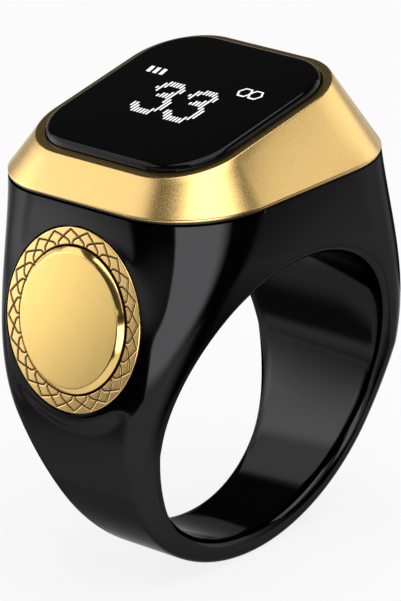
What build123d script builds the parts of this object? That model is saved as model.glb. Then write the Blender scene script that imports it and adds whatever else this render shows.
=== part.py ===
from build123d import *
import math
import os

# Finger-ring counter, in millimetres.
# The origin lies on the axis of the finger hole, +Y runs along the hole, +Z points up to the
# display, and the push-button is on the -X flank.

# Finger hole and shank
bore_radius = 10.0
bore_edge = 0.5  # bevel round both mouths of the hole
shank_wall = 1.6
shank_half_width = 5.96  # along the hole, at the height of its axis
foot_half_width = 3.2  # along the hole, at the bottom of the shank
flare = 0.284  # widening per millimetre of height, at the height of the axis
foot_flare = 0.19  # the same at the bottom of the shank
shoulder_rise = 0.6  # how far the shoulders stand out past the shank
shoulder_spread = 28.0  # degrees below the axis where the shoulders start
shank_corner = 1.9
foot_corner = 0.95
core_overlap = 0.6  # shank sections start this far inside the hole, which is cut afterwards
on_wall_tolerance = 0.01

# Head
floor_wall = 1.0  # between the finger hole and the cell's well
head_wall = 1.93
head_corner = 6.05
head_flare = 0.067
head_sections = 7
shank_sections = 13

# Cell, its well, and the pins beside it
cell_length = 11.0
cell_width = 8.4
cell_thickness = 2.3
cell_corner = 1.0
cell_pad = 0.3
cell_headroom = 0.3
well_gap = 0.5
well_corner = 2.0
tab_thickness = 0.2
tab_width = 1.2
tab_spacing = 4.0
contact_radius = 0.8
contact_depth = 0.45
contact_stem = 0.45
contact_play = 0.05
seal_radius = 0.75
seal_thickness = 0.4
seal_gap = 0.05
cell_side_gap = 0.25

# Board and screws
board_thickness = 0.8
board_play = 0.25
board_recess = 0.13  # how far the board's top lies under the body's rim
tray_corner = 2.6
tray_margin = 2.1
screw_step = 0.1
screw_radius = 0.5
screw_play = 0.08
screw_bite = 2.0
screw_head_radius = 0.75
screw_head = 0.35

# Frame, glass and display
gasket_thickness = 0.15
gasket_inset = 0.1
bezel_height = 3.72  # seam to rim at the middle of the display
bezel_wall = 1.23
bezel_cavity_corner = 4.4
display_tilt = 11.4  # degrees, leaning towards the button
display_shift = -0.65
rim_corner = 4.4
rim_land = 0.67
lens_proud = 0.45
lens_thickness = 1.3
lens_play = 0.04
lens_round = 0.45
lens_bond = 0.15
shelf_width = 0.75
window_play = 0.3  # between the display and the window in the shelf
shelf_thickness = 0.6
cavity_margin = 1.1
cavity_corner = 3.6
optical_bond = 0.1
oled_length = 12.6  # along Y, the reading direction
oled_height = 9.2
oled_thickness = 1.0
oled_corner = 0.3

# Carrier of the display
carrier_lip = 0.3
carrier_wall = 0.8
carrier_corner = 3.0
carrier_flange = 0.4
flex_room = 1.6
flex_tongue = 0.8
flex_thickness = 0.12
flex_width = 4.0
flex_side_gap = 1.2
flex_foot = 1.0

# Chips on the board
chip_size = 3.0
chip_thickness = 0.55
chip_gap = 0.95
chip_side = -2.2
antenna_length = 3.2
antenna_width = 1.4
antenna_thickness = 0.6
antenna_along = 1.6
antenna_gap = 0.6
crystal_size = (1.6, 1.2, 0.4)
crystal_gap = 2.65
crystal_side = 1.0
charger_size = (1.6, 1.6, 0.5)
charger_along = 2.4
charger_gap = 0.6
passive_size = (0.3, 0.6, 0.3)
passive_along = -1.2
passive_gap = 0.5
passive_pitch = 0.7
passive_count = 4

# Vibration motor
motor_radius = 2.5
motor_height = 1.9
motor_gap = 0.25
motor_skin = 0.12
motor_plate = 0.15
motor_shaft_radius = 0.25
motor_bearing_play = 0.03
magnet_inner = 0.7
magnet_outer = 1.5
magnet_thickness = 0.45
rotor_gap = 0.15
rotor_thickness = 0.85
rotor_radius = 2.2
rotor_hub = 0.6

# Button
button_tilt = 13.1  # degrees, facing outwards and up
button_drop = 7.13  # centre below the body's rim
button_wall = 3.0  # least depth between the ornament's face and the finger hole
boss_margin = 0.65
boss_round = 0.45
boss_drop = 0.05  # the ornament stands this far proud of its boss
ornament_radius = 5.88
ornament_play = 0.05
ornament_thickness = 0.7
cap_radius = 4.64
cap_play = 0.08
cap_proud = 0.378
cap_bevel = 0.36
cap_bevel_height = 0.28
cap_lift = 0.04  # gap between the ornament's underside and the flange
flange_overlap = 0.43
flange_thickness = 0.4
flange_play = 0.15
button_travel = 0.25
stem_radius = 1.2
stem_length = 0.25
seal_section = 0.17
seal_slack = 0.02
seal_depth = 0.38

# Switch under the button
switch_size = 2.8
switch_height = 0.5
switch_lid = 0.15
switch_clear = 0.05  # between the stem and the switch at full travel
switch_cavity = 1.1
pip_radius = 0.7
pip_play = 0.05
pip_gap = 0.02
pip_tail = 0.03
dome_thickness = 0.05
dome_gap = 0.02
switch_room = 0.3
side_flex_thickness = 0.1
side_flex_width = 2.2
side_flex_play = 0.2
stiffener_thickness = 0.15
stiffener_size = 3.2
overrun = 0.15  # space left under the flange at full travel


# Sizes that follow from those above
well_floor = bore_radius + floor_wall
cell_base = well_floor + cell_pad
board_seat = cell_base + cell_thickness + cell_headroom
board_top = board_seat + board_thickness
body_top = board_top + board_recess
bezel_base = body_top + gasket_thickness

contact_offset = cell_width / 2 + cell_side_gap + seal_radius
well_half_x = cell_length / 2 + well_gap
well_half_y = contact_offset + seal_radius + seal_gap
screw_x = well_half_x + screw_step
screw_y = well_half_y + screw_step
tray_half_x = screw_x + tray_margin
tray_half_y = screw_y + tray_margin
board_half_x = tray_half_x - board_play
board_half_y = tray_half_y - board_play
head_half_x = tray_half_x + head_wall
head_half_y = tray_half_y + head_wall

shank_radius = bore_radius + shank_wall
hip_half = shank_radius + shoulder_rise
hip_slope = 2 * shoulder_rise / (math.radians(shoulder_spread) * hip_half)

window_half = oled_length / 2 + window_play
lens_half = window_half + shelf_width
lens_corner = rim_corner - rim_land
rim_half = lens_half + rim_land
lens_base = lens_thickness - lens_proud
shelf_top = lens_base + lens_bond
shelf_base = shelf_top + shelf_thickness
oled_top = lens_base + optical_bond
oled_base = oled_top + oled_thickness
carrier_half_x = oled_height / 2 + flex_room
carrier_half_y = oled_length / 2 + carrier_lip
carrier_inner_x = carrier_half_x - carrier_wall
carrier_inner_y = carrier_half_y - carrier_wall
carrier_left = display_shift - carrier_inner_x
motor_x = display_shift + carrier_inner_x - motor_gap - motor_radius
flex_side = carrier_inner_y - flex_side_gap - flex_width / 2
chip_spot = (carrier_left + chip_gap + chip_size / 2, chip_side)
antenna_spot = (antenna_along, carrier_inner_y - antenna_gap - antenna_width / 2)
crystal_spot = (carrier_left + crystal_gap + crystal_size[0] / 2, crystal_side)
charger_spot = (charger_along, charger_gap + charger_size[1] / 2 - carrier_inner_y)
passive_spot = (passive_along, passive_gap + passive_size[1] / 2 - carrier_inner_y)

tilt = math.radians(button_tilt)
button_height = body_top - button_drop
button_x = -(bore_radius + button_wall - button_height * math.sin(tilt)) / math.cos(tilt)
boss_radius = ornament_radius + boss_margin
ornament_inner = cap_radius + cap_play
flange_top = ornament_thickness + cap_lift
flange_base = flange_top + flange_thickness
flange_radius = ornament_inner + flange_overlap
flange_floor = flange_base + button_travel + overrun
stem_end = flange_base + stem_length
pip_top = stem_end + pip_gap
switch_top = stem_end + button_travel + switch_clear
switch_base = switch_top + switch_height
cavity_top = switch_top + switch_lid
pip_end = cavity_top + pip_tail
side_flex_base = switch_base + side_flex_thickness
switch_floor = side_flex_base + stiffener_thickness

# Planes that pieces are placed on
level = Plane.XY
lean = math.radians(display_tilt)
display_plane = Plane(
    origin=(display_shift, 0, bezel_base + bezel_height),
    x_dir=(math.cos(lean), 0, math.sin(lean)),
    z_dir=(-math.sin(lean), 0, math.cos(lean)),
)
button_plane = Plane(
    origin=(button_x, 0, button_height),
    x_dir=(math.sin(tilt), 0, math.cos(tilt)),
    z_dir=(math.cos(tilt), 0, -math.sin(tilt)),
)
base_up = (Align.CENTER, Align.CENTER, Align.MIN)


def ease(start, end, start_slope, end_slope, span, along):
    """A value that runs smoothly from start to end over a span, with a slope given at each end."""
    share = along / span
    rise = 3 * share**2 - 2 * share**3
    lead = share - 2 * share**2 + share**3
    trail = share**3 - share**2
    return start + (end - start) * rise + span * (start_slope * lead + end_slope * trail)


def rod(plane, radius, start, end, spot=(0, 0)):
    """A round solid square to a plane, between two distances from it."""
    low = min(start, end)
    return plane * Pos(spot[0], spot[1], low) * Cylinder(radius, abs(end - start), align=base_up)


def pipe(plane, outer, inner, start, end, spot=(0, 0)):
    """A round tube square to a plane."""
    return rod(plane, outer, start, end, spot) - rod(plane, inner, start, end, spot)


def block(plane, length, width, start, end, spot=(0, 0)):
    """A box square to a plane."""
    low = min(start, end)
    return plane * Pos(spot[0], spot[1], low) * Box(length, width, abs(end - start), align=base_up)


def slab(plane, half_x, half_y, corner, start, end, spot=(0, 0)):
    """A plate with rounded corners, square to a plane."""
    low = min(start, end)
    outline = RectangleRounded(2 * half_x, 2 * half_y, corner)
    return plane * Pos(spot[0], spot[1], low) * extrude(outline, abs(end - start))


def head_section(height):
    """Outline of the shoulders and head at a height above the axis."""
    half_x = ease(hip_half, head_half_x, hip_slope, 0, body_top, height)
    half_y = ease(shank_half_width, head_half_y, flare, head_flare, body_top, height)
    corner = shank_corner + (head_corner - shank_corner) * height / body_top
    return level.offset(height) * RectangleRounded(2 * half_x, 2 * half_y, corner)


def shank_section(swing):
    """Section of the shank in the plane through the axis that lies a swing below +X, in degrees."""
    from_side = min(swing, 180 - swing)
    nearness = max(0, 1 - from_side / shoulder_spread)
    outer = shank_radius + shoulder_rise * nearness**2
    depth = math.sin(math.radians(swing))
    above_foot = shank_radius * (1 - depth)
    half = ease(foot_half_width, shank_half_width, foot_flare, flare, shank_radius, above_foot)
    corner = shank_corner + (foot_corner - shank_corner) * depth
    inner = bore_radius - core_overlap
    face = Pos((inner + outer) / 2, 0) * Rectangle(outer - inner, 2 * half)
    face = fillet(face.vertices().group_by(Axis.X)[-1], corner)
    turn = math.radians(swing)
    plane = Plane(
        origin=(0, 0, 0),
        x_dir=(math.cos(turn), 0, -math.sin(turn)),
        z_dir=(math.sin(turn), 0, math.cos(turn)),
    )
    return plane * face


def finger_hole():
    """The round of the finger hole, longer than the body on both sides."""
    return Rot(90, 0, 0) * Cylinder(bore_radius, 4 * head_half_y)


def on_bore(edge):
    """True for an edge that runs round a mouth of the finger hole."""
    points = [edge @ 0, edge @ 0.5, edge @ 1]
    on_wall = all(abs(math.hypot(p.X, p.Z) - bore_radius) < on_wall_tolerance for p in points)
    return on_wall and edge.geom_type != GeomType.LINE


def band_body():
    """The black body: shank, shoulders, head and button boss, with all its hollows."""
    head = loft([head_section(body_top * i / (head_sections - 1)) for i in range(head_sections)])
    shank = loft([shank_section(180 * i / (shank_sections - 1)) for i in range(shank_sections)])
    boss = rod(button_plane, boss_radius, boss_drop, button_wall)
    boss = fillet(boss.edges().filter_by(GeomType.CIRCLE).sort_by(Axis.X)[0], boss_round)
    body = head + shank - finger_hole()
    body = chamfer(body.edges().filter_by(on_bore), bore_edge)
    body += boss - finger_hole()
    body -= slab(level, well_half_x, well_half_y, well_corner, well_floor, body_top)
    body -= slab(level, tray_half_x, tray_half_y, tray_corner, board_seat, body_top)
    for side_x in (-1, 1):
        for side_y in (-1, 1):
            spot = (side_x * screw_x, side_y * screw_y)
            body -= rod(level, screw_radius, board_seat - screw_bite, board_seat, spot)
    for side in (-1, 1):
        spot = (0, side * contact_offset)
        body -= rod(level, contact_radius + contact_play, 0, bore_radius + contact_depth, spot)
        body -= rod(level, contact_stem + contact_play, 0, well_floor, spot)
    body -= rod(button_plane, ornament_radius + ornament_play, -head_half_x, ornament_thickness)
    body -= rod(button_plane, flange_radius + flange_play, 0, flange_floor)
    room = stiffener_size + switch_room
    body -= block(button_plane, room, room, flange_floor, switch_floor)
    body -= side_flex_way(side_flex_play, switch_base - side_flex_play, switch_floor)
    return body


def side_flex_way(play, start, end):
    """The strip from the switch up to the underside of the board, with some play about it."""
    reach = board_seat / math.cos(tilt)
    tail = stiffener_size / 2
    spot = ((reach - tail) / 2, 0)
    strip = block(button_plane, reach + tail, side_flex_width + 2 * play, start, end, spot)
    return split(strip, bisect_by=level.offset(board_seat), keep=Keep.BOTTOM)


def bezel():
    """The gold frame: sloping sides, a seat for the glass, a shelf under it and a hollow below."""
    foot = level.offset(bezel_base) * RectangleRounded(2 * head_half_x, 2 * head_half_y, head_corner)
    rim = display_plane * RectangleRounded(2 * rim_half, 2 * rim_half, rim_corner)
    frame = loft([foot, rim], ruled=True)
    mouth_x = head_half_x - bezel_wall
    mouth_y = head_half_y - bezel_wall
    mouth = level.offset(bezel_base) * RectangleRounded(2 * mouth_x, 2 * mouth_y, bezel_cavity_corner)
    roof_half = window_half + cavity_margin
    roof = display_plane.offset(-shelf_base) * RectangleRounded(2 * roof_half, 2 * roof_half, cavity_corner)
    seat_half = lens_half + lens_play
    seat = slab(display_plane, seat_half, seat_half, lens_corner + lens_play, -shelf_top, lens_proud)
    window_corner = lens_corner - shelf_width
    window = slab(display_plane, window_half, window_half, window_corner, -shelf_base, lens_proud)
    return frame - loft([mouth, roof], ruled=True) - seat - window


def bezel_gasket():
    """The thin black joint between body and frame."""
    outer_x = head_half_x - gasket_inset
    outer_y = head_half_y - gasket_inset
    outline = slab(level, outer_x, outer_y, head_corner - gasket_inset, body_top, bezel_base)
    mouth_x = head_half_x - bezel_wall
    mouth_y = head_half_y - bezel_wall
    return outline - slab(level, mouth_x, mouth_y, bezel_cavity_corner, body_top, bezel_base)


def display_lens():
    """The glass, with its upper edge rounded over."""
    glass = slab(display_plane, lens_half, lens_half, lens_corner, -lens_base, lens_proud)
    return fillet(glass.edges().group_by(Axis(display_plane.origin, display_plane.z_dir))[-1], lens_round)


def lens_adhesive():
    """The bonding frame between the glass and its shelf."""
    outer = slab(display_plane, lens_half, lens_half, lens_corner, -shelf_top, -lens_base)
    window_corner = lens_corner - shelf_width
    return outer - slab(display_plane, window_half, window_half, window_corner, -shelf_top, -lens_base)


def optical_adhesive():
    """The clear sheet between glass and display."""
    return block(display_plane, oled_height, oled_length, -oled_top, -lens_base)


def oled_panel():
    """The display."""
    return slab(display_plane, oled_height / 2, oled_length / 2, oled_corner, -oled_base, -oled_top)


def oled_flex():
    """The display's ribbon: a tongue off its lower edge, a drop and a foot on the board."""
    tongue_spot = (-oled_height / 2 - flex_tongue / 2, flex_side)
    tongue_top = flex_thickness - oled_base
    tongue = block(display_plane, flex_tongue, flex_width, -oled_base, tongue_top, tongue_spot)
    drop_x = tongue.bounding_box().min.X + flex_thickness
    drop_top = tongue.bounding_box().min.Z + flex_thickness
    drop = block(level, flex_thickness, flex_width, board_top, drop_top, (drop_x, flex_side))
    foot_spot = (drop_x + flex_foot / 2, flex_side)
    foot = block(level, flex_foot, flex_width, board_top, board_top + flex_thickness, foot_spot)
    return tongue + drop + foot


def display_carrier():
    """The wedge-shaped frame that holds the display at its lean, with a flange on the board."""
    spot = (display_shift, 0)
    tall = bezel_base + 2 * bezel_height
    wall = slab(level, carrier_half_x, carrier_half_y, carrier_corner, board_top, tall, spot)
    wall = split(wall, bisect_by=display_plane.offset(-oled_base), keep=Keep.BOTTOM)
    flange_top_z = board_top + carrier_flange
    flange = slab(level, board_half_x, board_half_y, tray_corner - board_play, board_top, flange_top_z)
    inner_corner = carrier_corner - carrier_wall
    hollow = slab(level, carrier_inner_x, carrier_inner_y, inner_corner, board_top, tall, spot)
    carrier = drilled_for_screws(wall + flange - hollow, screw_radius, board_top, flange_top_z)
    return drilled_for_screws(carrier, screw_head_radius, flange_top_z, tall)


def drilled_for_screws(piece, radius, start, end):
    """A piece with room for a round of a given radius at each of the four screws."""
    for side_x in (-1, 1):
        for side_y in (-1, 1):
            spot = (side_x * screw_x, side_y * screw_y)
            piece -= rod(level, radius + screw_play, start, end, spot)
    return piece


def carrier_screws():
    """Four screws that hold carrier and board down on the body."""
    seat = board_top + carrier_flange
    screws = []
    for side_x in (-1, 1):
        for side_y in (-1, 1):
            spot = (side_x * screw_x, side_y * screw_y)
            shaft = rod(level, screw_radius, board_seat - screw_bite, seat, spot)
            screws.append(shaft + rod(level, screw_head_radius, seat, seat + screw_head, spot))
    return Compound(children=screws)


def main_board():
    """The circuit board."""
    board = slab(level, board_half_x, board_half_y, tray_corner - board_play, board_seat, board_top)
    return drilled_for_screws(board, screw_radius, board_seat, board_top)


def radio_chip():
    """The controller."""
    return block(level, chip_size, chip_size, board_top, board_top + chip_thickness, chip_spot)


def chip_antenna():
    """The antenna block."""
    top = board_top + antenna_thickness
    return block(level, antenna_length, antenna_width, board_top, top, antenna_spot)


def board_components():
    """Crystal, charger and a row of passives."""
    pieces = []
    for size, spot in ((crystal_size, crystal_spot), (charger_size, charger_spot)):
        pieces.append(block(level, size[0], size[1], board_top, board_top + size[2], spot))
    for i in range(passive_count):
        spot = (passive_spot[0] + i * passive_pitch, passive_spot[1])
        width, length, height = passive_size
        pieces.append(block(level, width, length, board_top, board_top + height, spot))
    return Compound(children=pieces)


def battery_cell():
    """The pouch cell."""
    return slab(level, cell_length / 2, cell_width / 2, cell_corner, cell_base, cell_base + cell_thickness)


def battery_pad():
    """The foam under the cell."""
    return slab(level, cell_length / 2, cell_width / 2, cell_corner, well_floor, cell_base)


def battery_tabs():
    """Two tabs from the end of the cell up to the board."""
    x = cell_length / 2 + tab_thickness / 2
    low = cell_base + cell_thickness / 2
    tabs = []
    for side in (-1, 1):
        tabs.append(block(level, tab_thickness, tab_width, low, board_seat, (x, side * tab_spacing / 2)))
    return Compound(children=tabs)


def charge_contacts():
    """Two stepped pins, flush with the roof of the finger hole."""
    pins = []
    for side in (-1, 1):
        spot = (0, side * contact_offset)
        pin = rod(level, contact_radius, 0, bore_radius + contact_depth, spot)
        pin += rod(level, contact_stem, bore_radius, board_seat, spot)
        pins.append(pin - finger_hole())
    return Compound(children=pins)


def contact_seals():
    """A washer round each pin on the floor of the well."""
    washers = []
    for side in (-1, 1):
        spot = (0, side * contact_offset)
        top = well_floor + seal_thickness
        washers.append(pipe(level, seal_radius, contact_stem, well_floor, top, spot))
    return Compound(children=washers)


def ornament_ring():
    """The gold ring about the button."""
    return pipe(button_plane, ornament_radius, ornament_inner, 0, ornament_thickness)


def button_cap():
    """The gold button, with a bevelled face and a groove for its seal."""
    cap = rod(button_plane, cap_radius, -cap_proud, flange_top)
    face_edge = cap.edges().filter_by(GeomType.CIRCLE).sort_by(Axis.X)[0]
    face = cap.faces().filter_by(GeomType.PLANE).sort_by(Axis.X)[0]
    cap = chamfer(face_edge, cap_bevel, cap_bevel_height, reference=face)
    root = cap_radius + cap_play - seal_slack - 2 * seal_section
    groove = pipe(
        button_plane,
        cap_radius + cap_play,
        root,
        seal_depth - seal_section,
        seal_depth + seal_section,
    )
    return cap - groove


def button_seal():
    """The ring seal in the cap's groove."""
    middle = cap_radius + cap_play - seal_slack - seal_section
    return button_plane * Pos(0, 0, seal_depth) * Torus(middle, seal_section)


def button_plunger():
    """The carrier under the cap, with its flange and stem."""
    flange = rod(button_plane, flange_radius, flange_top, flange_base)
    return flange + rod(button_plane, stem_radius, flange_base, stem_end)


def switch_case():
    """The switch's housing, open underneath, with a hole for its pip."""
    case = block(button_plane, switch_size, switch_size, switch_top, switch_base)
    case -= rod(button_plane, pip_radius + pip_play, switch_top, switch_base)
    return case - rod(button_plane, switch_cavity, cavity_top, switch_base)


def switch_plunger():
    """The switch's moving pip."""
    return rod(button_plane, pip_radius, pip_top, pip_end)


def switch_dome():
    """The snap dome that the pip pushes down."""
    rise = switch_base - pip_end - dome_gap
    half = switch_cavity - dome_gap
    ball = (half**2 + rise**2) / (2 * rise)
    centre = button_plane * Pos(0, 0, pip_end + dome_gap + ball)
    shell = centre * Sphere(ball) - centre * Sphere(ball - dome_thickness)
    return shell & rod(button_plane, half, pip_end, switch_base)


def switch_flex():
    """The ribbon from the switch up to the underside of the board."""
    return side_flex_way(0, switch_base, side_flex_base)


def switch_stiffener():
    """The plate behind the ribbon."""
    return block(button_plane, stiffener_size, stiffener_size, side_flex_base, switch_floor)


def motor_parts():
    """The flat vibration motor: plate, can, shaft, magnet and off-centre rotor."""
    spot = (motor_x, 0)
    plate_top = board_top + motor_plate
    motor_top = board_top + motor_height
    roof = motor_top - motor_skin
    can = rod(level, motor_radius, plate_top, motor_top, spot)
    can -= rod(level, motor_radius - motor_skin, plate_top, roof, spot)
    magnet_top = plate_top + magnet_thickness
    rotor_base = magnet_top + rotor_gap
    rotor_top = rotor_base + rotor_thickness
    weight = rod(level, rotor_radius, rotor_base, rotor_top, spot)
    cut = (motor_x, -rotor_radius)
    weight -= block(level, 2 * rotor_radius, 2 * rotor_radius, rotor_base, rotor_top, cut)
    rotor = weight + rod(level, rotor_hub, rotor_base, rotor_top, spot)
    rotor -= rod(level, motor_shaft_radius + motor_bearing_play, rotor_base, rotor_top, spot)
    return {
        "motor_base": rod(level, motor_radius, board_top, plate_top, spot),
        "motor_can": can,
        "motor_shaft": rod(level, motor_shaft_radius, plate_top, roof, spot),
        "motor_magnet": pipe(level, magnet_outer, magnet_inner, plate_top, magnet_top, spot),
        "motor_rotor": rotor,
    }


pieces = (
    band_body,
    bezel,
    bezel_gasket,
    display_lens,
    lens_adhesive,
    optical_adhesive,
    oled_panel,
    oled_flex,
    display_carrier,
    carrier_screws,
    main_board,
    radio_chip,
    chip_antenna,
    board_components,
    battery_cell,
    battery_pad,
    battery_tabs,
    charge_contacts,
    contact_seals,
    ornament_ring,
    button_cap,
    button_seal,
    button_plunger,
    switch_case,
    switch_plunger,
    switch_dome,
    switch_flex,
    switch_stiffener,
)
nodes = {piece.__name__: piece() for piece in pieces}
nodes.update(motor_parts())

os.makedirs("parts", exist_ok=True)
for name, shape in nodes.items():
    export_step(shape, f"parts/{name}.step")
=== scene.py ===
import math

import bmesh
import bpy
from bpy.props import FloatProperty, FloatVectorProperty, IntProperty, PointerProperty
from mathutils import Matrix, Vector


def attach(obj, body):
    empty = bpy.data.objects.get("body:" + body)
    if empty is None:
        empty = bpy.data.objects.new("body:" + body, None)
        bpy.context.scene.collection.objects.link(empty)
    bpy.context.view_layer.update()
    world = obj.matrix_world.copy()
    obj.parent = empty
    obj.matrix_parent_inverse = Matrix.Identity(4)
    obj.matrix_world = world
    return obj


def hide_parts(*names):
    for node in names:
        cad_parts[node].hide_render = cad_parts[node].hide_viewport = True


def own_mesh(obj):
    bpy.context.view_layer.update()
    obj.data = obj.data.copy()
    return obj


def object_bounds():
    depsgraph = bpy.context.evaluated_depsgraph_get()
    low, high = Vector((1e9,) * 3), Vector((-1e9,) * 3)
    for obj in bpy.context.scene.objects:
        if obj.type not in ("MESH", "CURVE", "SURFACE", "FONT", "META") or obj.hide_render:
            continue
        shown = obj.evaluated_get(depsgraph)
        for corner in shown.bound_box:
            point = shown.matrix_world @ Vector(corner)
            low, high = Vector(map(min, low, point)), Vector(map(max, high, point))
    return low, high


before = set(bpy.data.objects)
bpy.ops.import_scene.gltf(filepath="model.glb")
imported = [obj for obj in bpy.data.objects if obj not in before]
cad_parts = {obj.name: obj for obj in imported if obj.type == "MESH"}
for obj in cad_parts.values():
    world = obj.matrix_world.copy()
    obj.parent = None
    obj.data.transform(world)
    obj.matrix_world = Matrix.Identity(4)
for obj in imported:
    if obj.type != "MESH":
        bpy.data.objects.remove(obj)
cad_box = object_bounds()

bl_info = {
    "name": "Ring counter",
    "version": (1, 0, 0),
    "blender": (4, 5, 0),
    "location": "3D View > Sidebar > Ring counter",
    "description": "Builds the looks of a finger-ring counter on its packed frame",
    "category": "Object",
}

MM = 0.001
# Distance under which points are one.
WELD = 1e-8
# Degrees by which faces turn at a sharp edge, where a piece has no angle of its own.
SHARP = 35.0


def length(name, description, millimetres):
    """A size in the sidebar, given in millimetres."""
    size = millimetres * MM
    return FloatProperty(name=name, description=description, default=size, unit="LENGTH", precision=6)


def position(name, description, *millimetres):
    """A place in the sidebar, given in millimetres."""
    place = tuple(part * MM for part in millimetres)
    return FloatVectorProperty(name=name, description=description, default=place, unit="LENGTH", size=3)


def degrees(name, description, value):
    """An angle in the sidebar, given in degrees."""
    return FloatProperty(name=name, description=description, default=math.radians(value), subtype="ANGLE")


def number(name, description, value):
    """A plain number in the sidebar."""
    return FloatProperty(name=name, description=description, default=value, precision=4)


def colour(name, description, *parts):
    """A colour in the sidebar, as linear light."""
    return FloatVectorProperty(
        name=name, description=description, default=parts, subtype="COLOR", size=3, min=0, max=1
    )


class BodySizes(bpy.types.PropertyGroup):
    """Sizes of the black ring body."""

    bore: length("Finger hole", "Radius of the finger hole", 10.0)
    bore_edge: length("Hole edge", "Width of the polished edge round both mouths of the hole", 0.5)
    shank: length("Shank", "Outer radius of the shank", 11.6)
    shank_half: length("Shank half width", "Half the width at the height of the hole's axis", 5.96)
    foot_half: length("Foot half width", "Half the width at the bottom of the shank", 3.2)
    flare: number("Flare", "Widening per unit of height at the axis", 0.284)
    foot_flare: number("Foot flare", "Widening per unit of height at the bottom", 0.19)
    shoulder: length("Shoulder rise", "How far the shoulders stand out past the shank", 0.6)
    shoulder_spread: degrees("Shoulder spread", "Angle below the axis where the shoulders start", 28.0)
    shank_corner: length("Shank corner", "Corner radius at the height of the hole's axis", 1.7)
    foot_corner: length("Foot corner", "Corner radius at the bottom of the shank", 0.95)
    top: length("Top", "Height of the body's rim above the axis", 14.83)
    head_half: length("Head half width", "Half the width of the head", 10.13)
    head_corner: length("Head corner", "Corner radius of the head", 6.05)
    corner_flare: number(
        "Corner flare", "Growth of the button side's corner at the rim, per unit of height", 0.26
    )
    head_flare: number("Head flare", "Widening per unit of height at the rim", 0.067)
    tray_half: length("Tray half width", "Half the width of the board's tray", 8.2)
    tray_corner: length("Tray corner", "Corner radius of the board's tray", 2.6)
    tray_floor: length("Tray floor", "Height of the board's seat", 13.9)
    well_half: length("Well half width", "Half the width of the cell's well", 6.0)
    well_corner: length("Well corner", "Corner radius of the cell's well", 2.0)
    well_floor: length("Well floor", "Height of the floor of the cell's well", 11.0)
    contact_offset: length("Contact offset", "Distance of a charging contact from the middle", 5.2)
    contact_hole: length("Contact hole", "Radius of the hole for a charging contact", 0.85)
    contact_depth: length("Contact depth", "Height of the step in a contact's hole", 10.45)
    stem_hole: length("Stem hole", "Radius of the hole for a contact's stem", 0.5)
    screw_offset: length("Screw offset", "Distance of a screw from the middle, both ways", 6.1)
    screw_hole: length("Screw hole", "Radius of a screw's hole", 0.5)
    screw_bite: length("Screw bite", "Depth of a screw's hole", 2.0)


class HeadSizes(bpy.types.PropertyGroup):
    """Sizes of the gold frame, the glass and the lit signs."""

    base: length("Frame base", "Height of the frame's underside", 14.98)
    lip: length("Lip", "Height of the upright lip at the foot of the frame", 0.16)
    rim_half: length("Rim half width", "Half the width of the frame's rim", 8.02)
    rim_corner: length("Rim corner", "Corner radius of the rim", 4.4)
    rim_round: length("Rim round", "Rounding of the rim's outer edge", 0.07)
    middle: position("Middle", "Middle of the display", -0.65, 0, 18.70)
    lean: degrees("Lean", "Lean of the display towards the button", 11.4)
    lens_half: length("Glass half width", "Half the width of the glass", 7.35)
    lens_corner: length("Glass corner", "Corner radius of the glass", 3.73)
    lens_play: length("Glass play", "Gap round the glass", 0.04)
    lens_proud: length("Glass proud", "How far the glass stands above the rim", 0.446)
    lens_depth: length("Glass depth", "How far the glass reaches down", 0.85)
    lens_round: length("Glass round", "Rounding of the glass's edge", 0.45)
    shelf_top: length("Shelf top", "Depth of the shelf under the glass", 1.0)
    shelf_base: length("Shelf base", "Depth of the shelf's underside", 1.6)
    window_half: length("Window half width", "Half the width of the window in the shelf", 6.6)
    window_corner: length("Window corner", "Corner radius of the window", 2.98)
    roof_half: length("Hollow half width", "Half the width of the hollow under the shelf", 7.7)
    roof_corner: length("Hollow corner", "Corner radius of the hollow under the shelf", 3.6)
    mouth_half: length("Mouth half width", "Half the width of the hollow at the frame's foot", 8.9)
    mouth_corner: length("Mouth corner", "Corner radius of the hollow at the frame's foot", 4.4)
    dot_pitch: length("Dot pitch", "Spacing of the display's dot columns", 0.262)
    dot_gap: length("Dot gap", "Dark gap between two columns", 0.12)
    digit_step: length("Digit step", "Distance from one digit to the next", 2.89)


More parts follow.
